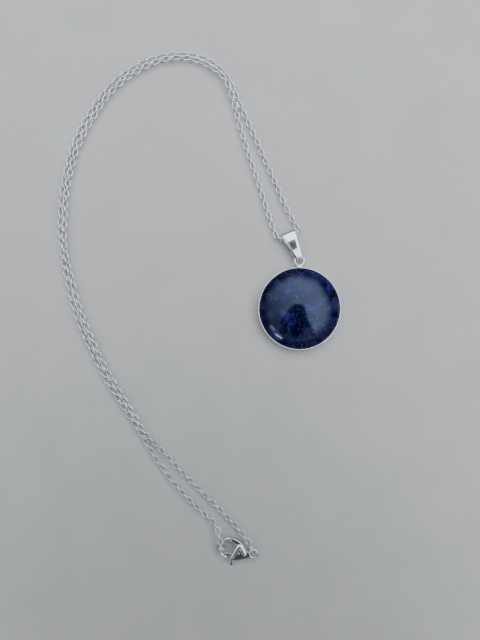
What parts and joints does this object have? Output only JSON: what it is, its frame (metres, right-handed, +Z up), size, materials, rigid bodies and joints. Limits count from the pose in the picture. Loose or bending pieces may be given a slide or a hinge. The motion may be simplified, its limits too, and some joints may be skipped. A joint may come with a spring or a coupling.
{
  "type": "pendant necklace",
  "caption": "Round domed blue stone in a flat steel tray, hung by a fold-over bail on a fine cable chain closed with a lobster clasp.",
  "frame": {"origin": "centre of the pendant's flat back, on the surface that the necklace lies on", "axes": "+Z up out of the stone, +Y from the pendant's middle towards its loop and bail, +X to the right with the chain lying to the left"},
  "size_m": [0.089, 0.1623, 0.0071],
  "materials": {
    "polished_steel": "polished",
    "chain_steel": "satin",
    "spring_steel": "satin",
    "blue_stone": "polished",
    "adhesive": "satin"
  },
  "bodies": {
    "chain_front": {"chain_bight": "chain_steel", "chain_front_outer": "chain_steel", "chain_front_inner": "chain_steel"},
    "bail": {"bail": "polished_steel"},
    "pendant": {"bezel_tray": "polished_steel", "adhesive_layer": "adhesive", "cabochon": "blue_stone", "pendant_loop": "polished_steel"},
    "chain_mid_1": {"chain_mid_1_outer": "chain_steel", "chain_mid_1_inner": "chain_steel"},
    "chain_mid_2": {"chain_mid_2_outer": "chain_steel", "chain_mid_2_inner": "chain_steel"},
    "chain_mid_3": {"chain_mid_3_outer": "chain_steel", "chain_mid_3_inner": "chain_steel"},
    "chain_mid_4": {"chain_mid_4_outer": "chain_steel", "chain_mid_4_inner": "chain_steel"},
    "chain_rear": {"chain_rear_outer": "chain_steel", "chain_rear_inner": "chain_steel", "end_link_hook_side": "chain_steel", "end_link_clasp_side": "chain_steel"},
    "end_ring": {"end_ring": "polished_steel"},
    "jump_ring": {"jump_ring": "polished_steel"},
    "clasp": {"clasp_body": "polished_steel", "clasp_pin": "polished_steel", "clasp_spring": "spring_steel"},
    "clasp_lever": {"clasp_lever": "polished_steel"}
  },
  "joints": [
    {"name": "bail_swing", "type": "hinge", "parent": "chain_front", "child": "bail", "pos_m": [-0.00329, 0.02284, 0.0017], "axis": [-0.9135, -0.4067, 0], "range_deg": [0, 120]},
    {"name": "pendant_sway", "type": "hinge", "parent": "bail", "child": "pendant", "pos_m": [0.00015, 0.01512, 0.0013], "axis": [0, 0, 1], "range_deg": [-20, 68]},
    {"name": "chain_bend_1", "type": "hinge", "parent": "chain_front", "child": "chain_mid_1", "pos_m": [-0.02062, 0.0678, 0.0012], "axis": [0, 0, 1], "range_deg": [-8, 8]},
    {"name": "chain_bend_2", "type": "hinge", "parent": "chain_mid_1", "child": "chain_mid_2", "pos_m": [-0.0533, 0.07472, 0.0012], "axis": [0, 0, 1], "range_deg": [-8, 8]},
    {"name": "chain_bend_3", "type": "hinge", "parent": "chain_mid_2", "child": "chain_mid_3", "pos_m": [-0.07132, 0.04915, 0.0012], "axis": [0, 0, 1], "range_deg": [-8, 8]},
    {"name": "chain_bend_4", "type": "hinge", "parent": "chain_mid_3", "child": "chain_mid_4", "pos_m": [-0.0728, 0.011, 0.0012], "axis": [0, 0, 1], "range_deg": [-8, 8]},
    {"name": "chain_bend_5", "type": "hinge", "parent": "chain_mid_4", "child": "chain_rear", "pos_m": [-0.05562, -0.0292, 0.0012], "axis": [0, 0, 1], "range_deg": [-8, 8]},
    {"name": "end_ring_spin", "type": "hinge", "parent": "chain_rear", "child": "end_ring", "pos_m": [-0.02457, -0.07483, 0.00177], "axis": [0, 1, 0], "continuous": true},
    {"name": "jump_ring_spin", "type": "hinge", "parent": "chain_rear", "child": "jump_ring", "pos_m": [-0.01494, -0.07516, 0.00202], "axis": [0.9397, 0.342, 0], "continuous": true},
    {"name": "clasp_roll", "type": "hinge", "parent": "chain_rear", "child": "clasp", "pos_m": [-0.01494, -0.07516, 0.00202], "axis": [-0.9991, 0.0342, -0.0259], "range_deg": [0, 30]},
    {"name": "clasp_lever_pivot", "type": "hinge", "parent": "clasp", "child": "clasp_lever", "pos_m": [-0.019, -0.0769, 0.0014], "axis": [0, 0, -1], "range_deg": [0, 18], "stiffness_Nm_per_rad": 0.0005, "springref_deg": -11.46}
  ]
}
